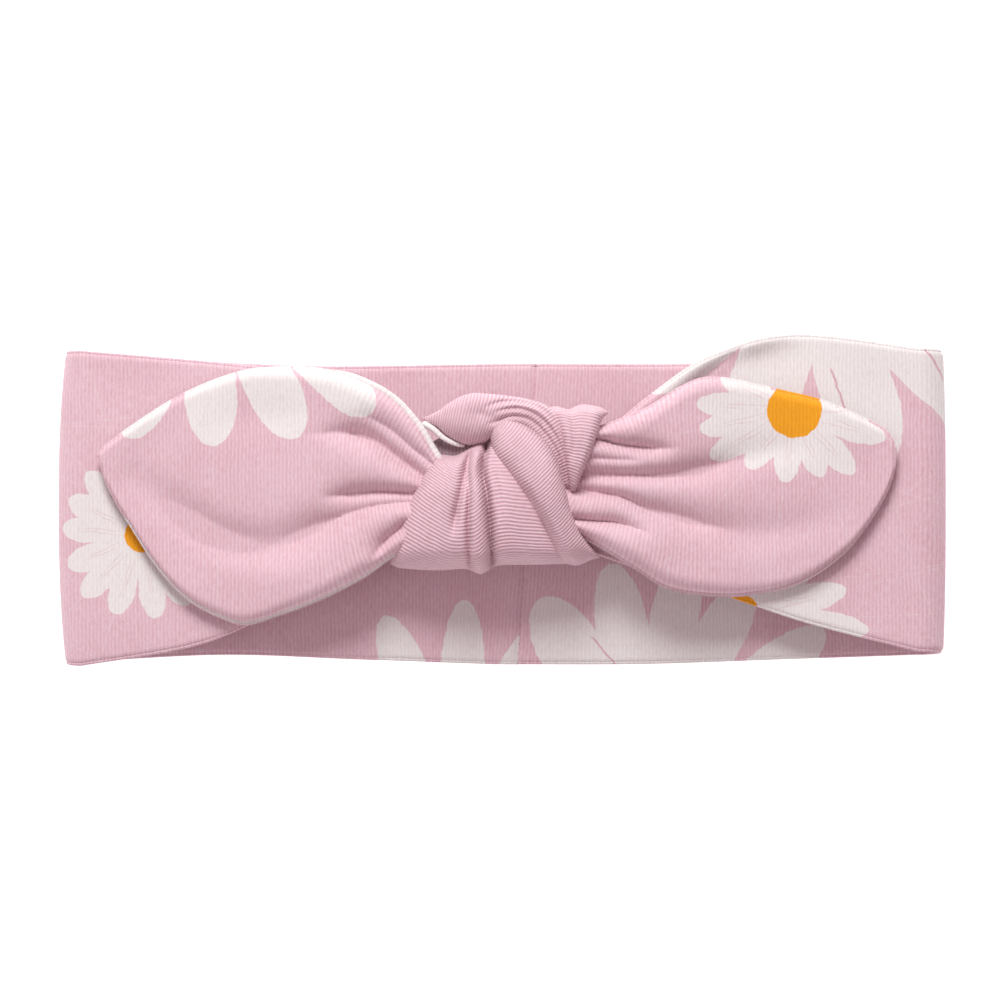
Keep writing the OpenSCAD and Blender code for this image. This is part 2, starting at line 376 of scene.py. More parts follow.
def node_group(name, inputs, outputs, build):
    """A shared group of nodes, made once. build takes its Nodes and inputs and returns its outputs."""
    if name in bpy.data.node_groups:
        return bpy.data.node_groups[name]
    tree = bpy.data.node_groups.new(name, "ShaderNodeTree")
    for key in inputs:
        kind = "NodeSocketVector" if key == "place" else "NodeSocketFloat"
        tree.interface.new_socket(name=key, in_out="INPUT", socket_type=kind)
    for key in outputs:
        tree.interface.new_socket(name=key, in_out="OUTPUT", socket_type="NodeSocketFloat")
    nodes = Nodes(tree)
    sockets = nodes.node("NodeGroupInput").outputs
    values = {key: sockets[key] if key == "place" else Value(nodes, sockets[key]) for key in inputs}
    nodes.node("NodeGroupOutput", inputs=build(nodes, **values))
    return tree


COURSE_STEP = 0.66                           # from one row of stitches to the next, in rib pitches
TWIST_STEP = 0.9                             # length of one twist of the sewing thread, mm


def weave_group():
    """The knit: ribs that run across the cloth, the stitches in them, and uneven dye."""
    def build(nodes, place, pitch):
        split = nodes.node("ShaderNodeSeparateXYZ", inputs={0: place})
        x, y = (Value(nodes, split.outputs[i]) for i in (0, 1))
        drift = (nodes.noise(place, 0.1, 2.0) - 0.5) * 0.9
        phase = (x + drift) * (2 * math.pi) / pitch
        rib = phase.cos() * 0.5 + 0.5
        stitch = (y * (2 * math.pi / COURSE_STEP) / pitch + (phase * 0.5).cos() * 1.8).cos() * 0.5 + 0.5
        speck = nodes.noise(place, 1.3, 3.0, (1.7, 0.55, 1.0))
        streak = nodes.noise(place, 0.5, 2.0, (2.4, 0.16, 1.0))
        cloud = nodes.noise(place, 0.05, 2.0)
        fuzz = nodes.noise(place, 3.4, 3.0, (1.0, 0.5, 1.0))
        return dict(zip(outputs, (rib, stitch, speck, streak, cloud, fuzz)))
    outputs = ("rib", "stitch", "speck", "streak", "cloud", "fuzz")
    return node_group("jersey_weave", ("place", "pitch"), outputs, build)


PRINT_SOFTNESS = 0.16                        # blur of a printed edge, mm
THREAD = 0.17                                # half width of a fine printed line, mm
SMALL_PETAL = 5.6                            # width of a small daisy's petal, mm


def petal_shape(along, aside, length, half_width, blunt, waist):
    """Mask of a petal that is widest at blunt and ends in a round tip, 1 inside and 0 outside."""
    swell = (along / blunt).clamped()
    tip = ((along - blunt) / (1.0 - blunt)).clamped()
    edge = half_width * (waist + (1.0 - waist) * swell) * (1.0 - tip * tip).root()
    return ((edge - aside.size()) / PRINT_SOFTNESS + 0.5).clamped() * (along * length).clamped()


def petal_group():
    """One petal that grows from a flower's centre, added to the petals and lines so far."""
    def build(nodes, x, y, centre_x, centre_y, turn, length, width, blunt, waist, vein, petals, lines):
        dx, dy = x - centre_x, y - centre_y
        cos, sin = turn.cos(), nodes.math("SINE", turn)
        along = (dx * cos + dy * sin) / length
        aside = dy * cos - dx * sin
        mask = petal_shape(along, aside, length, width * 0.5, blunt, waist)
        thread = (1.0 - (aside.size() - vein * (1.1 - along)).size() / THREAD).clamped()
        fade = (along * 4.0 - 0.8).clamped() * ((0.8 - along) * 5.0).clamped()
        shown = thread * fade * mask * (vein * 8.0).clamped()
        return {"petals": petals.most(mask), "lines": lines.least(1.0 - mask).most(shown * 0.5)}
    inputs = ("x", "y", "centre_x", "centre_y", "turn", "length", "width", "blunt", "waist", "vein",
              "petals", "lines")
    return node_group("printed_petal", inputs, ("petals", "lines"), build)


def daisy_group():
    """A whole daisy, each petal a little different in length, added to what is printed so far."""
    def build(nodes, x, y, centre_x, centre_y, length, count, turn, width, eye, petals, lines, centres):
        dx, dy = x - centre_x, y - centre_y
        reach = (dx * dx + dy * dy).root()
        step = 2 * math.pi / count
        slot = nodes.math("ARCTAN2", dy, dx) / step + turn
        index = nodes.math("FLOOR", slot)
        number = nodes.math("FLOORED_MODULO", index, count)
        off = slot - index - 0.5
        chance = nodes.math("FRACT", nodes.math("SINE", number * 12.99 + centre_x) * 43.7)
        along = reach / (length * (0.86 + 0.14 * chance))
        mask = petal_shape(along, off * step * reach, length, width * 0.5, 0.66, 0.5)
        between = (1.0 - (0.5 - off.size()) * step * reach / THREAD).clamped()
        line = between * mask * ((0.7 - along) * 8.0).clamped() * 0.5
        spot = ((length * eye - reach) / PRINT_SOFTNESS + 0.5).clamped()
        return {"petals": petals.most(mask), "lines": lines.most(line), "centres": centres.most(spot)}
    inputs = ("x", "y", "centre_x", "centre_y", "length", "count", "turn", "width", "eye",
              "petals", "lines", "centres")
    return node_group("printed_daisy", inputs, ("petals", "lines", "centres"), build)


class Print:
    """The daisy print on one panel, as masks of its petals, orange centres and fine lines."""

    def __init__(self, nodes, x, y, place):
        self.nodes = nodes
        self.x = x + (nodes.noise(place, 0.55, 2.0) - 0.5) * 0.8
        self.y = y + (nodes.noise(place, 0.5, 2.0, (1.3, 0.8, 1.0)) - 0.5) * 0.8
        self.masks = {"petals": 0.0, "lines": 0.0, "centres": 0.0}

    def petal(self, centre, angle, length, width, blunt=0.62, waist=0.42, vein=0.0):
        """One petal, widest at the share blunt of its length and waist of that width at its root."""
        held = {key: self.masks[key] for key in ("petals", "lines")}
        self.masks.update(self.nodes.group(
            petal_group(), x=self.x, y=self.y, centre_x=centre[0], centre_y=centre[1],
            turn=math.radians(angle), length=length, width=width, blunt=blunt, waist=waist, vein=vein, **held,
        ))

    def petal_fan(self, centre, petals, width, **shape):
        """Petals of one flower, given as (angle, length)."""
        for angle, length in petals:
            self.petal(centre, angle, length, width, **shape)

    def daisy(self, centre, length, count=14, turn=0.0, width=SMALL_PETAL, eye=0.2):
        """A whole flower: turn is a share of one petal's step, and eye the centre's share of length."""
        self.masks.update(self.nodes.group(
            daisy_group(), x=self.x, y=self.y, centre_x=centre[0], centre_y=centre[1], length=length,
            count=float(count), turn=turn, width=width, eye=eye, **self.masks,
        ))

    def spot(self, kind, centre, radius):
        """A round spot, added to the masks of one kind."""
        dx, dy = self.x - centre[0], self.y - centre[1]
        spot = ((radius - (dx * dx + dy * dy).root()) / PRINT_SOFTNESS + 0.5).clamped()
        self.masks[kind] = spot.most(self.masks[kind])

    def eye(self, centre, radius):
        """The round orange centre of a flower."""
        self.spot("centres", centre, radius)

    def disc(self, centre, radius):
        """Cream cloth where a flower's petals run together."""
        self.spot("petals", centre, radius)

    def line(self, start, stop, width=0.5):
        """A fine pink gap between two large petals."""
        run = math.dist(start, stop)
        cos, sin = (stop[0] - start[0]) / run, (stop[1] - start[1]) / run
        dx, dy = self.x - start[0], self.y - start[1]
        along, aside = dx * cos + dy * sin, (dy * cos - dx * sin).size()
        ends = (along + 0.5).clamped() * (run + 0.5 - along).clamped()
        gap = ((width / 2 - aside) / PRINT_SOFTNESS + 0.5).clamped() * ends
        self.masks["lines"] = gap.most(self.masks["lines"])


def no_print(_flowers):
    """Plain pink cloth."""


def cloth_material(name):
    """A new material's nodes, and the flat cloth's place as a vector and as x and y."""
    material = bpy.data.materials.new(name)
    material.use_nodes = True
    material.node_tree.nodes.clear()
    nodes = Nodes(material.node_tree)
    place = nodes.node("ShaderNodeAttribute", {"attribute_name": "cloth"}).outputs["Vector"]
    split = nodes.node("ShaderNodeSeparateXYZ", inputs={0: place})
    x, y = (Value(nodes, split.outputs[i]) for i in (0, 1))
    return material, nodes, place, x, y


def finish_surface(nodes, bump, **inputs):
    """Joins the bump and the named inputs to the shader, and the shader to the material's output."""
    raised = nodes.node("ShaderNodeBump", inputs=bump)
    sockets = {key.replace("_", " "): value for key, value in inputs.items()}
    surface = nodes.node("ShaderNodeBsdfPrincipled", inputs={**sockets, "Normal": raised.outputs[0]})
    nodes.node("ShaderNodeOutputMaterial", inputs={"Surface": surface.outputs[0]})


def jersey(name, draw_print=no_print, pitch=1.0, ribs=1.0, cream=0.0, painted_shade=1.0):
    """Matt ribbed jersey with its print, made once for each name.

    pitch and ribs scale the ribs' spacing and contrast, in the bump and in the painted shade between
    them, cream makes the ground off-white, and the shade setting darkens all of it as painted shade.
    """
    if name in bpy.data.materials:
        return bpy.data.materials[name]
    look = bpy.context.scene.headband_print
    rib_pitch = bpy.context.scene.headband_cloth.rib_pitch / MM * pitch
    material, nodes, place, x, y = cloth_material(name)
    weave = nodes.group(weave_group(), place=place, pitch=rib_pitch)

    # Painted shade between the ribs and between the stitches, and the lighter and deeper flecks of the uneven
    # dye
    light = 0.55 + (weave["rib"] - 0.5) * 0.75 * ribs + (weave["stitch"] - 0.5) * 0.25
    light = light + (weave["speck"] - 0.5) * 1.1 + (weave["streak"] - 0.5) * 0.3
    light = (light + (weave["cloud"] - 0.5) * 0.6).clamped()
    # The shade setting multiplies both colour pairs, as painted shade
    pinks, creams = (
        [[c * painted_shade for c in colour] for colour in pair]
        for pair in ((look.deep_pink, look.pink), (look.deep_cream, look.cream))
    )
    # Pink on the ribs, deep pink as painted shade between them
    colour = nodes.mix(light, *pinks)
    flowers = Print(nodes, x, y, place)
    draw_print(flowers)
    # The petals' cream likewise goes deep cream as painted shade between the ribs
    off_white = nodes.mix(light, *creams)
    # The print is a little thinner where a fleck of the dye shows through
    cover = 1.0 - (0.5 - weave["speck"]).most(0.0) * 0.5
    if isinstance(flowers.masks["petals"], Value):
        colour = nodes.mix(flowers.masks["petals"] * cover, colour, off_white)
        colour = nodes.mix(flowers.masks["lines"] * 0.9, colour, pinks[0])
    if isinstance(flowers.masks["centres"], Value):
        # The orange is deeper in the same painted shade between the ribs
        orange = nodes.mix(light, [c * 0.8 for c in look.orange], look.orange)
        colour = nodes.mix(flowers.masks["centres"], colour, orange)
    if cream:
        colour = nodes.mix(cream * cover, colour, off_white)

    height = weave["rib"] * 0.8 * ribs + weave["stitch"] * 0.16 + weave["fuzz"] * 0.3
    bump = {"Strength": 0.6, "Distance": 0.0002, "Height": height}
    finish_surface(
        nodes, bump, Base_Color=colour, Roughness=0.92 - 0.06 * weave["rib"], Specular_IOR_Level=0.15,
        Sheen_Weight=0.22, Sheen_Roughness=0.5, Sheen_Tint=(1.0, 0.94, 0.95, 1.0),
    )
    return material


def thread_material(name):
    """Twisted sewing thread, deeper in the grooves of its twist as painted shade."""
    look = bpy.context.scene.headband_print
    material, nodes, _, x, y = cloth_material(name)
    twist = ((x * 1.4 + y * 3.2) * (2 * math.pi / TWIST_STEP)).cos() * 0.5 + 0.5
    # Painted shade in the grooves of the twist; the bump gives the twist its shape
    colour = nodes.mix(twist, [c * 0.7 for c in look.deep_pink], look.deep_pink)
    bump = {"Strength": 0.5, "Distance": 0.0001, "Height": twist}
    finish_surface(nodes, bump, Base_Color=colour, Roughness=0.65, Sheen_Weight=0.15)
    return material


# ---------------------------------------------------------------------------- the print


def left_outer_print(flowers):
    """Left strap, fold and underside: a small daisy half under the tail, and more round the side."""
    small = (-76.4, -7.5)
    fan = ((108, 17), (131, 17.8), (153, 17.2), (174.5, 17.0), (203, 17.0), (226, 18.2), (251, 17.8),
           (280, 18.0), (304, 18), (328, 17))
    flowers.petal_fan(small, fan, SMALL_PETAL, blunt=0.7, waist=0.35, vein=0.6)
    flowers.eye(small, 3.7)
    flowers.daisy((-118.0, 14.0), 18.5, 14, 0.3)
    flowers.daisy((-160.0, -16.0), 30.0, 13, 0.1, width=9.0, eye=0.22)
    flowers.daisy((-186.0, 20.0), 17.0, 14, 0.6)


def right_outer_print(flowers):
    """Right strap, fold and underside: a large daisy past the upper edge and a small one below."""
    large = (66.3, 53.7)
    flowers.petal_fan(large, ((-72, 49), (-108, 48), (-143, 48), (-5, 50)), 16.2, blunt=0.72, waist=0.85)
    flowers.petal(large, -41, 62, 18.8, blunt=0.75, waist=0.7)
    flowers.disc(large, 24.0)
    flowers.line((70.6, 28.0), (73.8, 19.0))
    flowers.line((90.5, 32.3), (94.6, 25.7))
    low = (51.0, -24.4)
    flowers.petal_fan(low, ((13, 23.5), (-7, 27.8), (36, 21)), 6.2, vein=0.9)
    flowers.eye(low, 4.4)
    flowers.daisy((122.0, -10.0), 18.5, 14, 0.2)
    flowers.daisy((163.0, 18.0), 28.0, 13, 0.5, width=8.6, eye=0.22)
    flowers.daisy((188.0, -20.0), 17.0, 14, 0.4)


def left_lining_print(flowers):
    """Inside of the left half: large petals that grow from below the lower edge."""
    flowers.petal_fan((-6.8, -71.0), ((111.6, 49.5), (90, 49.5), (68.4, 48.5), (133, 47)), 11.0, vein=1.2)
    flowers.daisy((-64.0, 6.0), 17.0, 14, 0.2)
    flowers.daisy((-112.0, -12.0), 17.5, 14, 0.4)


def right_lining_print(flowers):
    """Inside of the right half: a large daisy whose centre lies below the lower edge."""
    large = (32.0, -57.5)
    flowers.petal(large, 121.5, 42.5, 12.6, blunt=0.72, waist=0.7)
    flowers.petal_fan(large, ((100, 44.5), (80, 46), (61.5, 46), (38, 48)), 10.6, blunt=0.7, waist=0.8)
    flowers.disc(large, 27.0)
    flowers.line((20.6, -29.5), (25.6, -35.5), 0.35)
    flowers.daisy((84.0, 12.0), 17.0, 14, 0.1)
    flowers.daisy((124.0, -8.0), 17.5, 14, 0.5)


def left_tail_print(flowers):
    """Petals that hang down from the left tail's upper edge."""
    large = (-62.4, 52.0)
    flowers.petal_fan(large, ((-63.6, 43.4), (-88, 40.6), (-113.6, 42.3)), 11.2, blunt=0.74, waist=0.7)
    flowers.petal(large, -46.5, 47.0, 6.4, blunt=0.85, waist=0.9)


def left_seam_print(flowers):
    """The left tail's seam: off-white where the lining rolls out, below and next to the knot."""
    left_tail_print(flowers)
    flowers.disc((-48.0, -75.0), 78.0)
    flowers.disc((-26.0, 15.0), 17.0)


def right_tail_print(flowers):
    """A small daisy cut by the right tail's upper edge."""
    small = (62.5, 19.0)
    fan = ((155, 17), (176, 20.8), (191.4, 20.5), (209, 20.5), (230.5, 15.8), (262, 15.4), (293, 15.2),
           (313.6, 18.4), (343, 20.3), (2, 17), (22, 16))
    flowers.petal_fan(small, fan, 5.7, vein=0.8)
    flowers.eye(small, 5.8)


def tail_lining_print(flowers):
    """Inside of a tail, which is seen from below."""
    flowers.daisy((48.0, 4.0), 17.0, 14, 0.2)
    flowers.daisy((-56.0, 2.0), 17.0, 14, 0.5)


BAND_PRINTS = {
    ("left", "lining"): left_lining_print,
    ("left", "outer"): left_outer_print,
    ("right", "lining"): right_lining_print,
    ("right", "outer"): right_outer_print,
}


def panel_jersey(side, panel):
    """The cloth of one panel of the band, with its print."""
    return jersey(f"{side}_{panel}_jersey", BAND_PRINTS[side, panel], ribs=0.5)


# ---------------------------------------------------------------------------- band

BAND_PANELS = {"lining": 1, "outer": -1}     # 1 on the inside of the ring, -1 on the outside

BACK_TOP = {
    "left": Edge((-10, 29), (0, 29), (40, 28.5), (70, 30), (FOLD_X, 31.5)),
    "right": Edge((-10, 29), (0, 29), (40, 29), (70, 30), (FOLD_X, 31.5)),
}
BACK_BOTTOM = {
    "left": Edge((-10, -35), (0, -35), (30, -34), (60, -33), (FOLD_X, -34.5)),
    "right": Edge((-10, -35), (0, -35), (30, -35), (60, -34), (FOLD_X, -33)),
}
STRAP_TOP = {
    "left": Edge((14, 9), (20, 12), (35, 23), (45, 27), (60, 29), (FOLD_X, 31.5)),
    "right": Edge((14, 9), (20, 12), (32, 22), (45, 30.5), (63, 35), (FOLD_X, 32)),
}
STRAP_BOTTOM = {
    "left": Edge((14, -9), (20, -11), (35, -17), (52, -25.5), (66, -31), (FOLD_X, -35)),
    "right": Edge((14, -9), (20, -11), (34, -16), (48, -20), (66, -26), (FOLD_X, -32)),
}
PANEL_RISE = 0.72                            # from the middle of the band to the face of a panel, mm
EDGE_ROLL = 1.1                              # how far in from an edge the cloth rolls over, mm
EDGE_ROLL_RADIUS = 0.42                      # radius of the sewn and turned edge itself, mm
SEAM_GROOVE = 0.6                            # half width of the groove at the centre back seam, mm
SEAM_LEAN = 0.06                             # how far the centre back seam leans for each mm of its length
LEAN_REACH = 30                              # how far from the seam the cloth leans with it, mm
# How far a fold stands out in the middle of the band, and how much less at its edges, in fold radii
FOLD_STAND = {"left": (1.0, 0.3), "right": (1.18, 0.1)}
WAVE_HEIGHT = 0.3                            # height of the soft waves in the folds and the straps, mm
BACK_WIDTH = 64                              # width of the flat cloth in the back layer, mm
STRAP_WIDTH = 66                             # width of the flat cloth in the folds and the straps, mm
STRAP_MEAN_WIDTH = 0.045                     # mean width of a gathered strap, in metres
STRAP_STOP = RING_STOP - 17                  # the way round to a strap's end inside the knot


def band_surface(side, panel, start, stop, rows, waves=0.0, extra=None):
    """Points and flat cloth places of one face of the band.

    The lining is the face on the inside of the ring, and the outer panel the one on the outside. start
    and stop count the way round from the centre back, through the fold, to the knot. extra is a
    function that gives further height.
    """
    sign, face = SIDES[side], BAND_PANELS[panel]
    way = np.linspace(start, stop, rows)[:, None]
    share = shares_across(64)[None, :]
    fold_start, fold_end = FOLD_X, FOLD_X + FOLD_LENGTH
    turn = np.clip((way - fold_start) / FOLD_LENGTH, 0, 1)
    front = ease(turn, 0, 1)
    distance = np.where(way < fold_start, way, np.where(way > fold_end, fold_end + FOLD_X - way, FOLD_X))
    top = (1 - front) * BACK_TOP[side](distance) + front * STRAP_TOP[side](distance)
    bottom = (1 - front) * BACK_BOTTOM[side](distance) + front * STRAP_BOTTOM[side](distance)
    width = top - bottom
    y = top - share * width
    to_edge = np.minimum(share, 1 - share) * width
    from_seam = way - sign * SEAM_X
    groove = 0.15 + 0.85 * round_off(from_seam + 0.02, SEAM_GROOVE)
    rise = PANEL_RISE * round_off(to_edge, EDGE_ROLL) * groove
    sway = waves * ripple(distance, y, 46.0, 1.0 + sign) * (1 - np.sin(math.pi * turn))
    if extra is not None:
        sway = sway + extra(distance + 0 * y, y, to_edge, share + 0 * y)
    middle = np.where(way > (fold_start + fold_end) / 2, sway, 0.0)
    radius = FOLD_R - face * rise
    angle = math.pi * turn
    most, less = FOLD_STAND[side]
    stand = most - less * np.abs(2 * share - 1) ** 2.5
    lean = SEAM_LEAN * y * (1 - ease(from_seam, 0, LEAN_REACH))
    x = sign * (distance + radius * stand * np.sin(angle)) + lean
    z = FOLD_Z - radius * np.cos(angle) + middle
    cloth_way = way if face == 1 else fold_end + FOLD_X - way
    cloth = np.stack(np.broadcast_arrays(sign * cloth_way, y), axis=-1)
    return np.stack(np.broadcast_arrays(x, y, z), axis=-1), cloth


def band_sheet(part, side, panel, way, waves=0.0, extra=None):
    """One panel's stretch of the band, as cloth with its thickness. way is its start, stop and rows."""
    points, cloth = band_surface(side, panel, *way, waves, extra)
    quads = grid_quads(*points.shape[:2], flip=SIDES[side] * BAND_PANELS[panel] < 0)
    piece = new_piece(f"{side}_{panel}_{part}_cloth", points, quads, cloth)
    give_thickness(piece)
    piece.data.materials.append(panel_jersey(side, panel))
    return piece


def edge_rolls(part, side, panel, way, waves=0.0, extra=None):
    """The two sewn and turned long edges of a stretch of the band, in the cloth of one panel."""
    name = f"{side}_{part}_edge_rolls"
    points, cloth = band_surface(side, panel, *way, waves, extra)
    rolls = [
        tube_piece(f"{name}_{end}", points[:, column], EDGE_ROLL_RADIUS, cloth[:, column], taper=False)
        for end, column in (("a", 0), ("b", -1))
    ]
    piece = join_pieces(name, rolls)
    piece.data.materials.append(panel_jersey(side, panel))
    return piece


def join_pieces(name, pieces):
    """Joins like pieces into one."""
    if len(pieces) > 1:
        select_only(pieces[0])
        for other in pieces[1:]:
            other.select_set(True)
        bpy.ops.object.join()
    pieces[0].name = pieces[0].data.name = name
    return pieces[0]


def strap_gathers(side):
    """Folds that run along a strap and deepen towards the knot."""
    def heights(distance, y, to_edge, share):
        near = 1 - ease(distance, 22, 52)
        folds = near * 0.9 * np.cos(2 * math.pi * 3.5 * share)
        roll = 0.0
        if side == "right":
            along = ease(distance, 34, 44) * (1 - ease(distance, 54, 66))
            roll = 1.9 * along * np.exp(-((to_edge / 2.6) ** 2)) * (share < 0.5)
            roll = roll - crease(distance, y, ((38, 22.5), (43, 26), (48.5, 30.4), (53, 33.2)), 0.9, 0.5)
        return folds * round_off(to_edge, 3.0) + roll
    return heights


def flat_size(width, length):
    """A flat sheet's size in metres."""
    return (width * MM, length * MM)


class HEADBAND_OT_back_layer(bpy.types.Operator):
    """Build the back layer, which lies on the table, in its two halves"""

    bl_idname = "headband.back_layer"
    bl_label = "Back layer"

    def execute(self, context):
        for side, sign in SIDES.items():
            start = sign * SEAM_X
            way = (start, FOLD_PIECE_X, 84)
            for panel in BAND_PANELS:
                piece = band_sheet("back", side, panel, way)
                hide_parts(f"{side}_{panel}_centre_back", f"{side}_{panel}_back")
                flat_size(BACK_WIDTH, FOLD_PIECE_X - start)
                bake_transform(piece)
            rolls = edge_rolls("back", side, "lining", way)
            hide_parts(f"{side}_centre_back_edge_seam", f"{side}_back_edge_seam")
            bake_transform(rolls)
        return {"FINISHED"}


class HEADBAND_OT_side_folds(bpy.types.Operator):
    """Build the two side folds, where the band turns from its back layer to its straps"""

    bl_idname = "headband.side_folds"
    bl_label = "Side folds"

    def execute(self, context):
        way = (FOLD_PIECE_X, STRAP_START, 64)
        for side in SIDES:
            for panel in BAND_PANELS:
                piece = band_sheet("fold", side, panel, way, WAVE_HEIGHT)
                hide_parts(f"{side}_{panel}_fold")
                flat_size(STRAP_WIDTH, STRAP_START - FOLD_PIECE_X)
                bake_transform(piece)
            rolls = edge_rolls("fold", side, "outer", way, WAVE_HEIGHT)
            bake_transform(rolls)
        return {"FINISHED"}


class HEADBAND_OT_straps(bpy.types.Operator):
    """Build the two straps, from the side folds to the knot"""

    bl_idname = "headband.straps"
    bl_label = "Front straps"

    def execute(self, context):
        way = (STRAP_START, STRAP_STOP, 110)
        length = STRAP_STOP - STRAP_START
        for side in SIDES:
            gathers = strap_gathers(side)
            made = []
            for panel in BAND_PANELS:
                piece = band_sheet("strap", side, panel, way, WAVE_HEIGHT, gathers)
                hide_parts(f"{side}_{panel}_strap")
                flat_size(STRAP_WIDTH, length)
                STRAP_MEAN_WIDTH * length * MM
                made.append(piece)
            rolls = edge_rolls("strap", side, "outer", way, WAVE_HEIGHT, gathers)
            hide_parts(f"{side}_strap_edge_seam")
            for piece in made + [rolls]:
                # The pivot between the right strap and the knot is left open, so that strap stays straight
                if side == "left":
                    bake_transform(piece)
                else:
                    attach(piece, "right_strap")
        return {"FINISHED"}


# ---------------------------------------------------------------------------- tails

TAIL_TOP = {
    "left": Edge((9, 3), (14, 10.1), (16.2, 13.9), (18.8, 17.4), (22.2, 21), (26.8, 24), (33.5, 26.8),
                 (42, 28), (54, 27.4), (66, 23.1), (76, 17.2), (83.4, 11.8), (85.4, 9.6)),
    "right": Edge((12, 12), (20, 15), (30, 18.8), (38.7, 24), (43.5, 25.8), (49.4, 25.5), (58.2, 23.5),
                  (68.5, 21), (76, 17.9), (82, 14.6), (84.1, 11)),
}
TAIL_BOTTOM = {
    "left": Edge((9, -6), (17, -9), (23, -11.8), (29, -16), (38, -20.6), (47, -24), (54, -25.9), (60, -24.2),
                 (66.5, -20.6), (72.5, -14.4), (78.5, -5.4), (83.2, 2.8), (85.4, 9.6)),
    "right": Edge((12, -5), (19.7, -8.6), (28.7, -14.1), (36, -18.4), (46.4, -19.9), (54, -19.5), (61.4, -18),
                  (68, -14.8), (75, -9), (80.8, -0.8), (83.6, 6), (84.1, 11)),
}
TAIL_TIP = {"left": 85.4, "right": 84.1}
TAIL_START = {"left": 12.0, "right": 13.5}
# Heights of both tails as (distances from the centre, heights there): the edges, the outer panel above
# them and the lining below them
TAIL_EDGE_Z = ((12, 26, 36, 52, 86), (15.4, 15.2, 14.4, 13.3, 13.1))
TAIL_ABOVE = ((12, 20, 28, 40, 56, 86), (3.4, 4.2, 4.4, 3.2, 1.9, 1.1))
TAIL_BELOW = ((12, 20, 28, 40, 60, 86), (2.8, 2.8, 2.2, 1.4, 1.0, 0.8))
TAIL_ROLL_RADIUS = 0.36                      # radius of the thin roll round a tail, mm
TAIL_WELT_RADIUS = 0.8                       # and of the fuller one next to the knot, mm
CREASE_DEPTH = 1.6                           # scales the depths of the creases below
# Sharp folds that start at the knot, as (route, depth, width), and soft hollows further out, whose
# routes have the tail's own sign in x
TAIL_CREASES = {
    "left": (
        (((15, 3.5), (17.5, 5.8), (22.3, 9.4), (27, 12.8), (33, 14.3), (42, 13.8)), 3.2, 1.1),
        (((15, 1.2), (19, 1.5), (26, 1.8), (32, 1.2), (39, 0.4)), 2.6, 0.9),
        (((16, -0.8), (20, -0.6), (26, -1.2), (32, -2.8), (38, -5.4), (44, -8.3), (50, -9.6)), 1.5, 1.1),
        (((20, -5), (21.5, -6.2), (24.8, -9.2), (27, -14)), 2.0, 0.9),
        (((14, 7.5), (18, 10.5), (24, 15.5), (31, 19)), 1.0, 1.0),
    ),
    "right": (
        (((15, 13), (20.8, 12.9), (25.3, 11.8), (32.5, 11.0), (38, 10.8)), 2.4, 0.8),
        (((14, 5.8), (17, 5.6), (32, 5.3), (39.4, 5.8), (45, 7.0), (53, 9.8)), 3.0, 1.0),
        (((14, 3), (17.1, 2.2), (25.3, 0.8), (32.1, -2.1), (41.7, -4.9), (52, -6.8)), 2.4, 1.1),
        (((15, -4), (20, -4.4), (25.3, -4.9), (33, -7.6)), 2.0, 0.8),
        (((18, 9), (24, 8.6), (31, 8.4)), 0.8, 0.8),
    ),
}
TAIL_VALLEYS = {
    "left": (
        (((-77, 4), (-68, -3), (-58, -8.6), (-48.6, -9.8), (-41, -7), (-33, -3.6)), 2.2, 4.2),
        (((-60, 15), (-50, 17.5), (-40, 18), (-30, 16)), 0.5, 4.0),
    ),
    "right": (
        (((30, -1.5), (42, -4.8), (52, -6.8), (62, -6.2), (72, -3)), 1.0, 4.0),
        (((44, 6), (54, 9.6), (64, 11.5)), 0.8, 3.4),
    ),
}


def tail_surface(side, face):
    """Points and flat cloth places of one face of a tail. face is 1 for the outer panel on top."""
    sign = SIDES[side]
    tip = TAIL_TIP[side]
    run = np.sin(np.linspace(0, math.pi / 2, 190))[:, None] ** 0.94
    distance = TAIL_START[side] + (tip - TAIL_START[side]) * run
    share = shares_across(104, 0.035)[None, :]
    top, bottom = TAIL_TOP[side](distance), TAIL_BOTTOM[side](distance)
    if face == -1:
        bottom = bottom - 0.75 * (1 - ease(distance, tip - 10, tip - 1))
    width = top - bottom
    y = top - share * width
    x = distance + 0 * y
    to_edge = np.minimum(share, 1 - share) * width
    to_edge = np.minimum(to_edge, (tip - distance) * 1.4 + 0.02 + 0 * y)
    middle = np.interp(distance, *TAIL_EDGE_Z)
    if face == 1:
        rise = np.interp(distance, *TAIL_ABOVE)
        cut = CREASE_DEPTH * sum(crease(x, y, *spec) for spec in TAIL_CREASES[side])
        cut = cut + sum(valley(sign * x, y, *spec) for spec in TAIL_VALLEYS[side])
        puff = 0.35 * ripple(x, y, 34.0, 2.0 + sign) * ease(to_edge, 0, 8)
        lift = rise * round_off(to_edge, 0.4 + rise * 0.9) + (puff - cut) * ease(to_edge, 0, 3.5)
        lift = np.maximum(lift, 0.25 * round_off(to_edge, 0.8))
        z = middle + lift
    else:
        rise = np.interp(distance, *TAIL_BELOW)
        z = middle - rise * round_off(to_edge, 0.3 + rise) + 0.1 * ripple(x, y, 30.0, 4.0)
    # Near the knot the ribs curve round it
    fan = 0.5 * (np.hypot(x - 12, y - 3) - (x - 12)) * (1 - ease(distance, 20, 46))
    cloth = np.stack(np.broadcast_arrays(sign * (x + fan), y), axis=-1)
    return np.stack(np.broadcast_arrays(sign * x, y, z), axis=-1), cloth


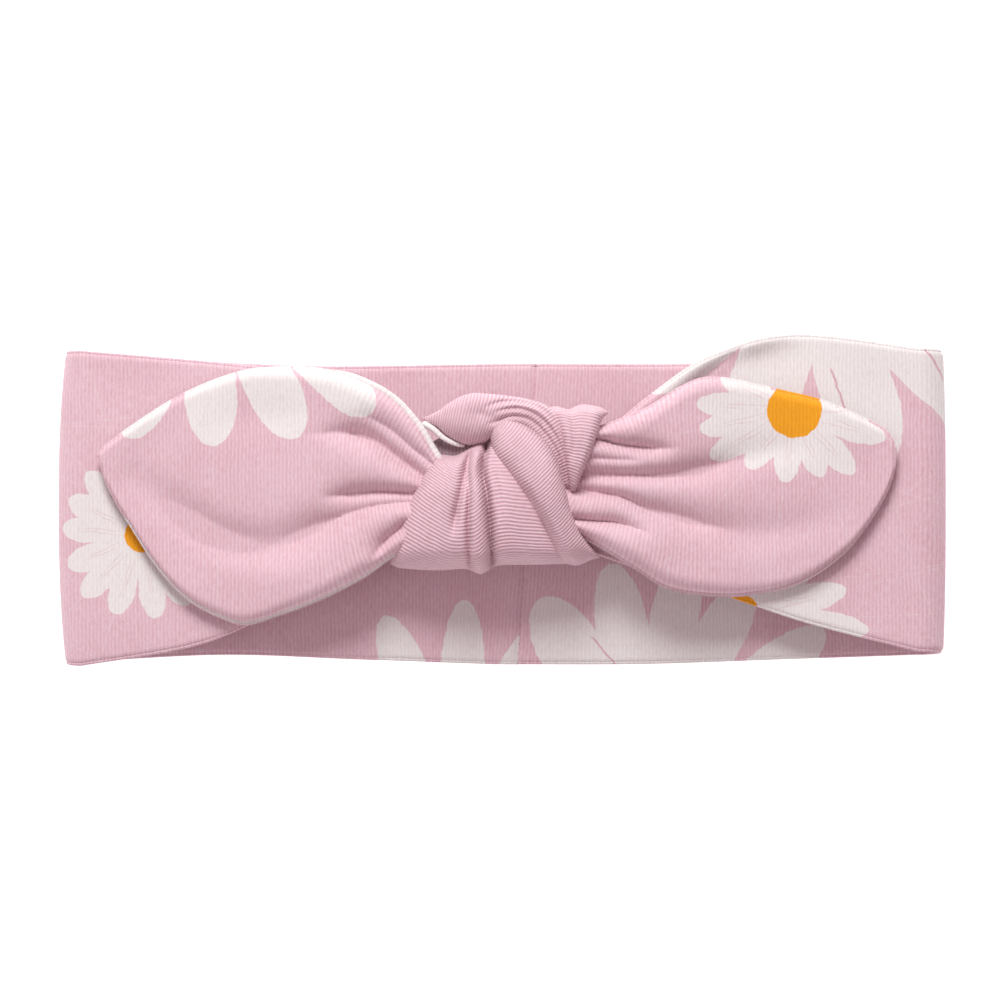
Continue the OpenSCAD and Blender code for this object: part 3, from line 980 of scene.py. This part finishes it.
class HEADBAND_OT_tails(bpy.types.Operator):
    """Build the two tails, each an outer panel, a lining panel and the rolled seam between them"""

    bl_idname = "headband.tails"
    bl_label = "Tails"

    def execute(self, context):
        outer_prints = {"left": left_tail_print, "right": right_tail_print}
        for side, sign in SIDES.items():
            made = []
            panels = ((1, "outer", outer_prints[side], 0.0), (-1, "lining", tail_lining_print, 0.35))
            for face, panel, draw, cream in panels:
                points, cloth = tail_surface(side, face)
                quads = grid_quads(*points.shape[:2], flip=sign * face < 0)
                piece = new_piece(f"{side}_{panel}_tail_cloth", points, quads, cloth)
                give_thickness(piece)
                piece.data.materials.append(
                    jersey(f"{side}_{panel}_tail_jersey", draw, ribs=0.6, cream=cream))
                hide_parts(f"{side}_{panel}_tail")
                flat_size(54, 74)
                made.append(piece)
            made.append(self.rolled_seam(side))
            for piece in made:
                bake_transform(piece)
        return {"FINISHED"}

    def rolled_seam(self, side):
        """The seam round the tail: a thin roll all along it, and fuller where the lining shows."""
        points, cloth = tail_surface(side, 1)
        rim = np.concatenate([points[:, 0], points[::-1, -1]])
        flat = np.concatenate([cloth[:, 0], cloth[::-1, -1]])
        rolls = [tube_piece(f"{side}_tail_roll", rim[::2], TAIL_ROLL_RADIUS, flat[::2])]
        if side == "left":
            upper = points[:, 0]
            near = np.abs(upper[:, 0]) < 36
            body = round_off(np.linspace(0, 1, near.sum()) * 14, 8.0)[::-1]
            route = upper[near] + np.array([0.1, 0.05, 0.5]) * body[:, None]
            radius = TAIL_WELT_RADIUS * body + 0.1
            rolls.append(tube_piece("left_tail_welt", route, radius, cloth[near, 0], sides=16))
        piece = join_pieces(f"{side}_tail_seam_roll", rolls)
        draw = {"left": left_seam_print, "right": right_tail_print}[side]
        piece.data.materials.append(jersey(f"{side}_tail_seam_jersey", draw, ribs=0.5))
        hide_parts(f"{side}_tail_edge_seam")
        return piece


# ---------------------------------------------------------------------------- knot


def along_shares(values, along):
    """A number that varies along a strand, given at even steps along it."""
    return smooth_curve([[v] for v in values], along)[:, 0]


def strand_mesh(name, first, second, middle, above, below, pleats=(), tubes=(), hems=(), slants=(0, 0),
                knit=1.0, round_ends=(3.0, 3.0), counts=(130, 90), squareness=2.4, peak=1.0):
    """One gathered strand of the knot, as a closed form.

    first and second are its two long edges, middle the height of those edges, and above and below how
    far the cloth stands off that height, each along the strand. A pleat is (shares across it along the
    strand, depth, width, where it starts, where it stops), and a tube is a raised fold, (shares, height,
    half width, start, stop). A hem moves one end of the strand: (end, share across, distance, width).
    slants are how far the ribs run ahead at even steps across, and knit draws them closer together.
    round_ends are the radii of the strand's two ends, counts its points along and across, squareness
    how full it is at its edges, and a peak under 1 moves the highest line towards first.
    """
    rows, columns = counts
    along = np.linspace(0, 1, rows)
    a, b = smooth_curve(first, along), smooth_curve(second, along)
    share = (1 - np.cos(np.linspace(0, math.pi, columns))) / 2
    run = run_along(np.linalg.norm(np.diff((a + b) / 2, axis=0), axis=1))
    width = np.linalg.norm(b - a, axis=1)[:, None]
    ends = (round_off(run, round_ends[0]) * round_off(run[-1] - run, round_ends[1]))[:, None]
    crown = ((1 - np.abs(2 * share ** peak - 1) ** squareness) ** (1 / squareness))[None, :]
    plan = a[:, None] + (b - a)[:, None] * share[None, :, None]
    for end, place, distance, reach in hems:
        pull = along if end == 1 else 1 - along
        plan[..., 1] += distance * (pull ** 3)[:, None] * np.exp(-(((share - place) / reach) ** 2))[None, :]

    def off_line(shares):
        return (share[None, :] - along_shares(shares, along)[:, None]) * width

    def stretch(start, stop):
        begun, ended = ease(along, start - 0.05, start + 0.08), ease(along, stop - 0.2, stop + 0.02)
        return (begun * (1 - ended))[:, None]

    relief = np.zeros((rows, columns))
    for shares, depth, size, start, stop in pleats:
        near = np.exp(0.3 - np.sqrt((off_line(shares) / size) ** 2 + 0.09))
        relief -= depth * near * stretch(start, stop)
    for shares, height, half, start, stop in tubes:
        dome = np.sqrt(np.clip(1 - (off_line(shares) / half) ** 2, 0, 1))
        relief += height * dome * stretch(start, stop)
    relief *= np.minimum(crown * 1.4, 1) * np.minimum(ends * 1.3, 1)
    base = along_shares(middle, along)[:, None]
    high = base + along_shares(above, along)[:, None] * crown * ends + relief
    low = base - along_shares(below, along)[:, None] * crown * ends
    upper = np.concatenate([plan, high[..., None]], axis=-1)
    lower = np.concatenate([plan, low[..., None]], axis=-1)[:, -2:0:-1]
    points = np.concatenate([upper, lower], axis=1)
    # Flat cloth places: the length along the strand, and the way round it
    around = np.linalg.norm(np.diff(points, axis=1, append=points[:, :1]), axis=-1)
    around = np.concatenate([np.zeros((rows, 1)), np.cumsum(around, axis=1)[:, :-1]], axis=1)
    length = run_along(np.median(np.linalg.norm(np.diff(upper, axis=0), axis=-1), axis=1))
    ahead = along_shares(slants, share)
    ahead = np.concatenate([ahead, ahead[-2:0:-1]])
    flat = np.stack([(length[:, None] + ahead[None, :]) * knit, around], axis=-1)
    piece = new_piece(name, points, grid_quads(rows, points.shape[1], wrap=True), flat)
    cap_ends(piece)
    close_and_smooth(piece)
    return piece


class HEADBAND_OT_knot(bpy.types.Operator):
    """Build the knot: the strands of both halves where they pass over and round each other"""

    bl_idname = "headband.knot"
    bl_label = "Front knot"

    def execute(self, context):
        pink = jersey("knot_jersey", ribs=1.4)
        # The knot's lining cloth is darkened as painted shade, standing for the shade in the hole inside the
        # knot
        painted_shade_lining = jersey("knot_lining_painted_shade_jersey", ribs=1.0, painted_shade=0.45)
        strands = (
            (self.front_wrap, "knot_front_wrap", pink),
            (self.diagonal_roll, "knot_diagonal_roll", pink),
            (self.top_loop, "knot_top_loop", pink),
            (self.right_shoulder, "knot_right_shoulder", pink),
            (self.back_wrap, "knot_back_wrap", pink),
            (self.inner_lining, "knot_lining_core", painted_shade_lining),
        )
        for build, node, cloth in strands:
            piece = build(f"{node}_cloth")
            piece.data.materials.append(cloth)
            "lining_jersey" if node == "knot_lining_core" else "outer_jersey"
            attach(piece, "knot")
            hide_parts(node)
        welt = self.loop_welt()
        welt.data.materials.append(jersey("knot_welt_jersey", pitch=0.8, ribs=0.5, cream=0.95))
        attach(welt, "knot")
        return {"FINISHED"}

    def front_wrap(self, name):
        """The right half's strand, which comes over the top and fans out down the front."""
        return strand_mesh(
            name,
            first=((-12.9, 9.8), (-15.9, 6.0), (-18.2, 1.6), (-20.5, -3.2), (-22.4, -8.6), (-23.4, -13.8)),
            second=((0.5, 13.6), (5, 8), (9, 1), (12, -5), (14.5, -10), (16, -13.4)),
            middle=(14, 14, 14, 13.5, 13, 12.3),
            above=(6.4, 8.8, 10.2, 10.4, 9.6, 7.6),
            below=(3, 4, 5, 5, 5, 5),
            pleats=(((0.74, 0.587, 0.566, 0.5625, 0.557, 0.552), 5.2, 0.62, 0.0, 1.2),
                    ((0.50, 0.44, 0.432, 0.428, 0.43, 0.432), 2.4, 0.5, 0.06, 1.2),
                    ((0.48, 0.41, 0.361, 0.338, 0.33, 0.325), 2.4, 0.7, 0.04, 0.75),
                    ((0.86, 0.70, 0.66, 0.64, 0.62, 0.6), 0.8, 0.8, 0.1, 0.6),
                    ((0.2, 0.2, 0.2, 0.2, 0.2, 0.2), 0.35, 2.5, 0.4, 1.1)),
            tubes=(((0.62, 0.515, 0.50, 0.496, 0.495, 0.493), 1.1, 2.1, 0.05, 1.2),),
            hems=((0, 0.28, -1.3, 0.2), (1, 0.49, -1.6, 0.055), (1, 0.25, -1.3, 0.26), (1, 0.8, -0.3, 0.2),
                  (1, 0.0, 0.6, 0.03)),
            slants=(0, -1.7, -3.5, -5.2, -4.6, -2.2, -1.2, -1.4, -1.5, -1.5),
            round_ends=(3.2, 3.6), counts=(150, 280),
        )

    def diagonal_roll(self, name):
        """The same strand's other edge, rolled over it from upper left to lower right."""
        return strand_mesh(
            name,
            first=((-2.3, 14.6), (-2.0, 12.2), (-1.2, 8.6), (1.3, 5.1), (4.5, 1.2), (7.3, -3.1), (9.3, -6.4),
                   (11.2, -10.5), (12.4, -13.2)),
            second=((-1.2, 17.2), (2.7, 17.7), (6.5, 15.9), (10.2, 12.4), (12.4, 7.9), (13.8, 3),
                    (15.2, -2.3), (17.6, -7.7), (21.4, -12.2)),
            middle=(15, 15, 15, 15, 15, 14.6, 14, 13.2, 12.5),
            above=(5.0, 7.0, 8.6, 9.6, 10.2, 10.2, 9.6, 8.2, 6.0),
            below=(3, 4, 4, 4, 4, 4, 4, 4, 4),
            pleats=(((0.16, 0.14, 0.12, 0.12, 0.12, 0.14, 0.18, 0.2, 0.2), 0.7, 0.8, 0.5, 1.1),),
            hems=((1, 0.45, -1.2, 0.3),),
            slants=(0, -0.5, -0.7, -0.5, 0), knit=1.18,
            round_ends=(1.8, 4.5), counts=(140, 90), squareness=2.6,
        )

    def top_loop(self, name):
        """The left half's strand, which arches over the top and turns down behind the roll."""
        return strand_mesh(
            name,
            first=((-16.6, 17.4), (-13.3, 18.9), (-10.1, 21.1), (-6.5, 22.6), (-3, 22.6), (1, 22.2),
                   (5.6, 21.5), (10.0, 20.0), (13.2, 16.8), (15.0, 12.5), (15.8, 7.5), (15.3, 1.4)),
            second=((-16.2, 16.4), (-13.6, 15.3), (-11.5, 13.5), (-9, 12.2), (-5.8, 11.5), (-3, 12.2),
                    (-0.6, 14.0), (3, 14.5), (6.5, 12.5), (9.5, 9.5), (11.5, 5.6), (12.9, 0.4)),
            middle=(12.5, 13, 13.5, 14, 14, 14, 14, 14, 14, 14, 13.5, 13),
            above=(1.6, 3.2, 5.0, 6.4, 7.2, 7.6, 8.0, 8.0, 7.8, 7.4, 6.8, 5.6),
            below=(1.5, 2.5, 3, 4, 4, 4, 4, 4, 4, 4, 4, 3),
            pleats=(((0.3, 0.3, 0.3, 0.3, 0.28, 0.14, 0.12, 0.16, 0.2, 0.22, 0.22, 0.22), 1.5, 0.6, 0.4, 1.1),
                    ((0.5, 0.5, 0.5, 0.5, 0.5, 0.34, 0.28, 0.34, 0.38, 0.4, 0.42, 0.42), 1.6, 0.6, 0.46, 1.1),
                    ((0.6, 0.6, 0.6, 0.6, 0.6, 0.58, 0.5, 0.54, 0.58, 0.6, 0.62, 0.62), 1.3, 0.6, 0.44, 1.1),
                    ((0.62, 0.6, 0.5, 0.42, 0.4, 0.5, 0.6, 0.6, 0.6, 0.6, 0.6, 0.6), 0.7, 1.4, 0.3, 0.6)),
            tubes=(((0.2, 0.2, 0.2, 0.2, 0.2, 0.2, 0.2, 0.25, 0.29, 0.31, 0.32, 0.32), 0.5, 1.1, 0.5, 1.1),),
            knit=1.15, round_ends=(1.8, 3.0), counts=(170, 90), peak=0.72,
        )

    def right_shoulder(self, name):
        """The left half's strand where it turns down on the outside, behind the roll."""
        return strand_mesh(
            name,
            first=((9.0, 20.3), (11.2, 17.4), (12.7, 13.5), (13.6, 9), (14.2, 5), (14.8, 1.3)),
            second=((23.4, 19.6), (21.8, 17.6), (20.6, 13.8), (18.9, 8.9), (17.2, 4.9), (15.8, 1.1)),
            middle=(13, 13.5, 14, 14, 13.5, 13),
            above=(6.4, 7.8, 8.4, 8.0, 6.8, 5.0),
            below=(4, 4, 4, 4, 3.5, 3),
            pleats=(((0.4, 0.38, 0.36, 0.34, 0.32, 0.3), 0.9, 0.8, -0.1, 0.7),
                    ((0.7, 0.68, 0.65, 0.6, 0.6, 0.6), 0.3, 1.4, 0.0, 0.8)),
            hems=((0, 0.38, -0.8, 0.12), (0, 0.62, 0.5, 0.2), (0, 1.0, -0.9, 0.09), (0, 0.0, -0.8, 0.15)),
            slants=(0, -0.6, -1.3), knit=1.15,
            round_ends=(1.8, 2.0), counts=(90, 90), squareness=3.4,
        )

    def back_wrap(self, name):
        """The strand that passes behind the knot, against the head."""
        return strand_mesh(
            name,
            first=((-21, 8), (-10, 12), (4, 14), (14, 13.6), (21, 11)),
            second=((-21, -10), (-12, -13), (2, -13), (12, -11.5), (21, -8)),
            middle=(10.6, 10.2, 10, 10.2, 10.6),
            above=(2.4, 2.8, 3, 2.8, 2.4),
            below=(1.8, 2.5, 2.8, 2.5, 1.8),
            pleats=(((0.3, 0.34, 0.36, 0.34, 0.3), 0.5, 0.8, 0.1, 0.9),),
            round_ends=(4.0, 4.0),
        )

    def inner_lining(self, name):
        """The lining of both strands, gathered inside the knot, in cloth darkened as painted shade for the
        shadowed hole.
        """
        return strand_mesh(
            name,
            first=((-17, 11), (-7, 15.5), (6, 14.5), (16, 7)),
            second=((-16, -6), (-6, -10), (6, -10), (16, -6)),
            middle=(11.0, 11.0, 12, 12.5),
            above=(3, 5, 5, 3),
            below=(2, 3, 3, 2),
            pleats=(((0.3, 0.3, 0.3, 0.3), 1.0, 0.8, 0.1, 0.9), ((0.55, 0.5, 0.5, 0.5), 1.0, 0.8, 0.1, 0.9)),
            round_ends=(5.0, 5.0),
        )

    def loop_welt(self):
        """The rolled seam along the lower edge of the top loop."""
        share = np.linspace(0, 1, 40)
        lower = smooth_curve(((-16.5, 16.4), (-14.1, 15.0), (-12.0, 13.2), (-9.5, 11.9), (-7.4, 11.5)), share)
        height = along_shares((14.2, 15.2, 16.0, 16.2, 15.0), share)[:, None]
        route = np.concatenate([lower, height], axis=1)
        flat = np.concatenate([lower, 0 * height], axis=1)
        return tube_piece("knot_loop_seam_roll", route, 0.72 * (1 - 0.5 * share), flat, sides=14)


# ---------------------------------------------------------------------------- seam

STITCH_PITCH = 2.0                           # from one stitch to the next, mm
STITCH_LENGTH = 1.7
THREAD_RADIUS = 0.14
STITCH_RISE = 0.22                           # how far a stitch stands up in its middle, mm


class HEADBAND_OT_centre_seam(bpy.types.Operator):
    """Build the stitches of the centre back seam"""

    bl_idname = "headband.centre_seam"
    bl_label = "Centre back seam"

    def execute(self, context):
        low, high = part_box("centre_back_seam")
        pitch = STITCH_PITCH * MM
        count = int((high[1] - low[1]) / pitch) - 1
        start_y = low[1] + pitch
        first = self.stitch(Vector((SEAM_X * MM + SEAM_LEAN * start_y, start_y, BACK_Z * MM)))
        stitches = [first]
        for number in range(1, count):
            other = first.copy()
            other.data = first.data.copy()
            other.data.transform(Matrix.Translation((SEAM_LEAN * number * pitch, number * pitch, 0)))
            context.scene.collection.objects.link(other)
            stitches.append(other)
        seam = join_pieces("centre_back_seam_stitches", stitches)
        flat = np.array([v.co for v in seam.data.vertices], np.float32) / MM
        seam.data.attributes.new("cloth", "FLOAT_VECTOR", "POINT").data.foreach_set("vector", flat.ravel())
        seam.data.materials.append(thread_material("seam_thread"))
        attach(seam, "back_centre")
        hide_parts("centre_back_seam")
        return {"FINISHED"}

    def stitch(self, place):
        """One stitch: a short length of thread that dips into the cloth at both ends."""
        bpy.ops.object.select_all(action="DESELECT")
        bpy.ops.mesh.primitive_cylinder_add(
            vertices=8, radius=THREAD_RADIUS * MM, depth=STITCH_LENGTH * MM, location=place,
            rotation=(math.pi / 2, 0, 0), end_fill_type="TRIFAN")
        piece = bpy.context.object
        bpy.ops.object.transform_apply(location=True, rotation=True, scale=True)
        bpy.ops.object.mode_set(mode="EDIT")
        bpy.ops.mesh.select_all(action="SELECT")
        bpy.ops.mesh.bisect(plane_co=place, plane_no=(0, 1, 0))
        bpy.ops.object.mode_set(mode="OBJECT")
        for vertex in piece.data.vertices:
            vertex.select = abs(vertex.co.y - place.y) < 0.1 * MM
        bpy.ops.object.mode_set(mode="EDIT")
        bpy.ops.transform.translate(value=(0, 0, STITCH_RISE * MM))
        bpy.ops.object.mode_set(mode="OBJECT")
        bpy.ops.object.shade_smooth()
        return piece


# ---------------------------------------------------------------------------- stage

WHITE = (1.0, 1.0, 1.0, 1.0)


class HEADBAND_OT_stage(bpy.types.Operator):
    """Set up the floor, the lights and the camera straight above the headband"""

    bl_idname = "headband.stage"
    bl_label = "Stage"

    def execute(self, context):
        stage = context.scene.headband_stage
        self.floor()
        self.light("key_light", (-0.08, 0.63, 0.59), 0.34, stage.key)
        self.light("fill_light", (-0.5, -0.35, 0.75), 0.8, stage.fill)
        context.scene.world = self.studio(stage)
        context.scene.view_settings.view_transform = "Standard"
        context.scene.camera = self.camera(stage)
        return {"FINISHED"}

    def studio(self, stage):
        """The world: soft light from all round, behind a white backdrop that only the camera sees."""
        world = bpy.data.worlds.new("studio")
        world.use_nodes = True
        nodes = Nodes(world.node_tree)
        seen = nodes.node("ShaderNodeLightPath").outputs["Is Camera Ray"]
        sky = nodes.node("ShaderNodeBackground", inputs={0: as_colour(stage.sky_colour), 1: stage.sky})
        backdrop = nodes.node("ShaderNodeBackground", inputs={0: WHITE, 1: 1.0})
        shaders = {0: seen, 1: sky.outputs[0], 2: backdrop.outputs[0]}
        both = nodes.node("ShaderNodeMixShader", inputs=shaders)
        nodes.node("ShaderNodeOutputWorld", {"is_active_output": True}, {"Surface": both.outputs[0]})
        return world

    def floor(self):
        """A white sweep just under the headband."""
        bpy.ops.object.select_all(action="DESELECT")
        bpy.ops.mesh.primitive_plane_add(size=4.0, location=(0, 0, -0.00005))
        floor = bpy.context.object
        floor.name = "floor"
        material = bpy.data.materials.new("white_sweep")
        material.use_nodes = True
        surface = material.node_tree.nodes["Principled BSDF"].inputs
        surface["Base Color"].default_value = (0.8, 0.8, 0.8, 1.0)
        surface["Roughness"].default_value = 0.9
        surface["Emission Color"].default_value = WHITE
        surface["Emission Strength"].default_value = 0.78
        floor.data.materials.append(material)

    def light(self, name, place, size, power):
        """A square soft light that points at the middle of the headband."""
        data = bpy.data.lights.new(name, "AREA")
        data.size = size
        data.energy = power
        lamp = bpy.data.objects.new(name, data)
        lamp.location = place
        lamp.rotation_euler = (-Vector(place)).to_track_quat("-Z", "Y").to_euler()
        bpy.context.scene.collection.objects.link(lamp)

    def camera(self, stage):
        """The camera, straight above, at the distance where the field is as wide as the stage asks."""
        data = bpy.data.cameras.new("camera")
        data.lens = 150.0
        camera = bpy.data.objects.new("camera", data)
        distance = stage.field_width / 2 * data.lens / (data.sensor_width / 2)
        camera.location = (0, 0, distance + stage.focus_height)
        bpy.context.scene.collection.objects.link(camera)
        return camera


# ---------------------------------------------------------------------------- settings


def length_setting(name, description, default, low, high):
    """A length in metres that a user can change."""
    return FloatProperty(name=name, description=description, default=default, min=low, max=high,
                         precision=5, unit="LENGTH", subtype="DISTANCE")


def colour_setting(name, description, default):
    """A colour that a user can change."""
    return FloatVectorProperty(name=name, description=description, default=default, min=0, max=1, size=3,
                               subtype="COLOR")


class HEADBAND_PG_cloth(bpy.types.PropertyGroup):
    thickness: length_setting("Jersey thickness", "Thickness of one layer of jersey", 0.0005, 0.0002, 0.0009)
    rib_pitch: length_setting(
        "Rib pitch", "Distance from one rib of the knit to the next", 0.0008, 0.0004, 0.002)


class HEADBAND_PG_print(bpy.types.PropertyGroup):
    pink: colour_setting("Pink", "Ground colour of the jersey", (0.79, 0.61, 0.665))
    # Deep pink is the painted shade between the ribs, and also the real colour of the print's fine lines and
    # of the thread
    deep_pink: colour_setting("Deep pink", "Pink between the ribs", (0.63, 0.385, 0.44))
    cream: colour_setting("Cream", "Petals on the ribs", (0.84, 0.845, 0.825))
    # Deep cream is the painted shade between the ribs where they cross a petal
    deep_cream: colour_setting("Deep cream", "Petals between the ribs", (0.74, 0.71, 0.685))
    orange: colour_setting("Orange", "Flower centres", (0.92, 0.40, 0.02))


class HEADBAND_PG_stage(bpy.types.PropertyGroup):
    field_width: length_setting(
        "Field width", "Width that the camera takes in at the focus height", 0.214, 0.1, 1.0)
    focus_height: length_setting(
        "Focus height", "Height above the floor that the field width is measured at", 0.008, 0.0, 0.05)
    key: FloatProperty(
        name="Key light", description="Power of the key light", default=6.5, min=0, unit="POWER")
    fill: FloatProperty(
        name="Fill light", description="Power of the fill light", default=1.2, min=0, unit="POWER")
    sky_colour: colour_setting("Sky colour", "Tint of the light from all round", (1.0, 0.76, 0.82))
    sky: FloatProperty(
        name="Sky", description="Strength of the light from all round", default=0.42, min=0)


class HEADBAND_PT_panel(bpy.types.Panel):
    """Lists the headband's parts and settings"""

    bl_idname = "HEADBAND_PT_panel"
    bl_label = "Knotted headband"
    bl_space_type = "VIEW_3D"
    bl_region_type = "UI"
    bl_category = "Headband"

    def draw(self, context):
        for name in GROUPS:
            group = getattr(context.scene, name)
            box = self.layout.box()
            for key in group.__annotations__:
                box.prop(group, key)
        for operator in BUILD_ORDER:
            self.layout.operator(operator.bl_idname)


GROUPS = {
    "headband_cloth": HEADBAND_PG_cloth,
    "headband_print": HEADBAND_PG_print,
    "headband_stage": HEADBAND_PG_stage,
}
BUILD_ORDER = (
    HEADBAND_OT_stage,
    HEADBAND_OT_back_layer,
    HEADBAND_OT_centre_seam,
    HEADBAND_OT_side_folds,
    HEADBAND_OT_straps,
    HEADBAND_OT_knot,
    HEADBAND_OT_tails,
)
CLASSES = (*GROUPS.values(), *BUILD_ORDER, HEADBAND_PT_panel)


def register():
    for cls in CLASSES:
        bpy.utils.register_class(cls)
    for key, group in GROUPS.items():
        setattr(bpy.types.Scene, key, PointerProperty(type=group))


def unregister():
    for key in GROUPS:
        delattr(bpy.types.Scene, key)
    for cls in reversed(CLASSES):
        bpy.utils.unregister_class(cls)


def main():
    register()
    for operator in BUILD_ORDER:
        group, _, action = operator.bl_idname.partition(".")
        getattr(getattr(bpy.ops, group), action)()


if __name__ == "__main__":
    main()
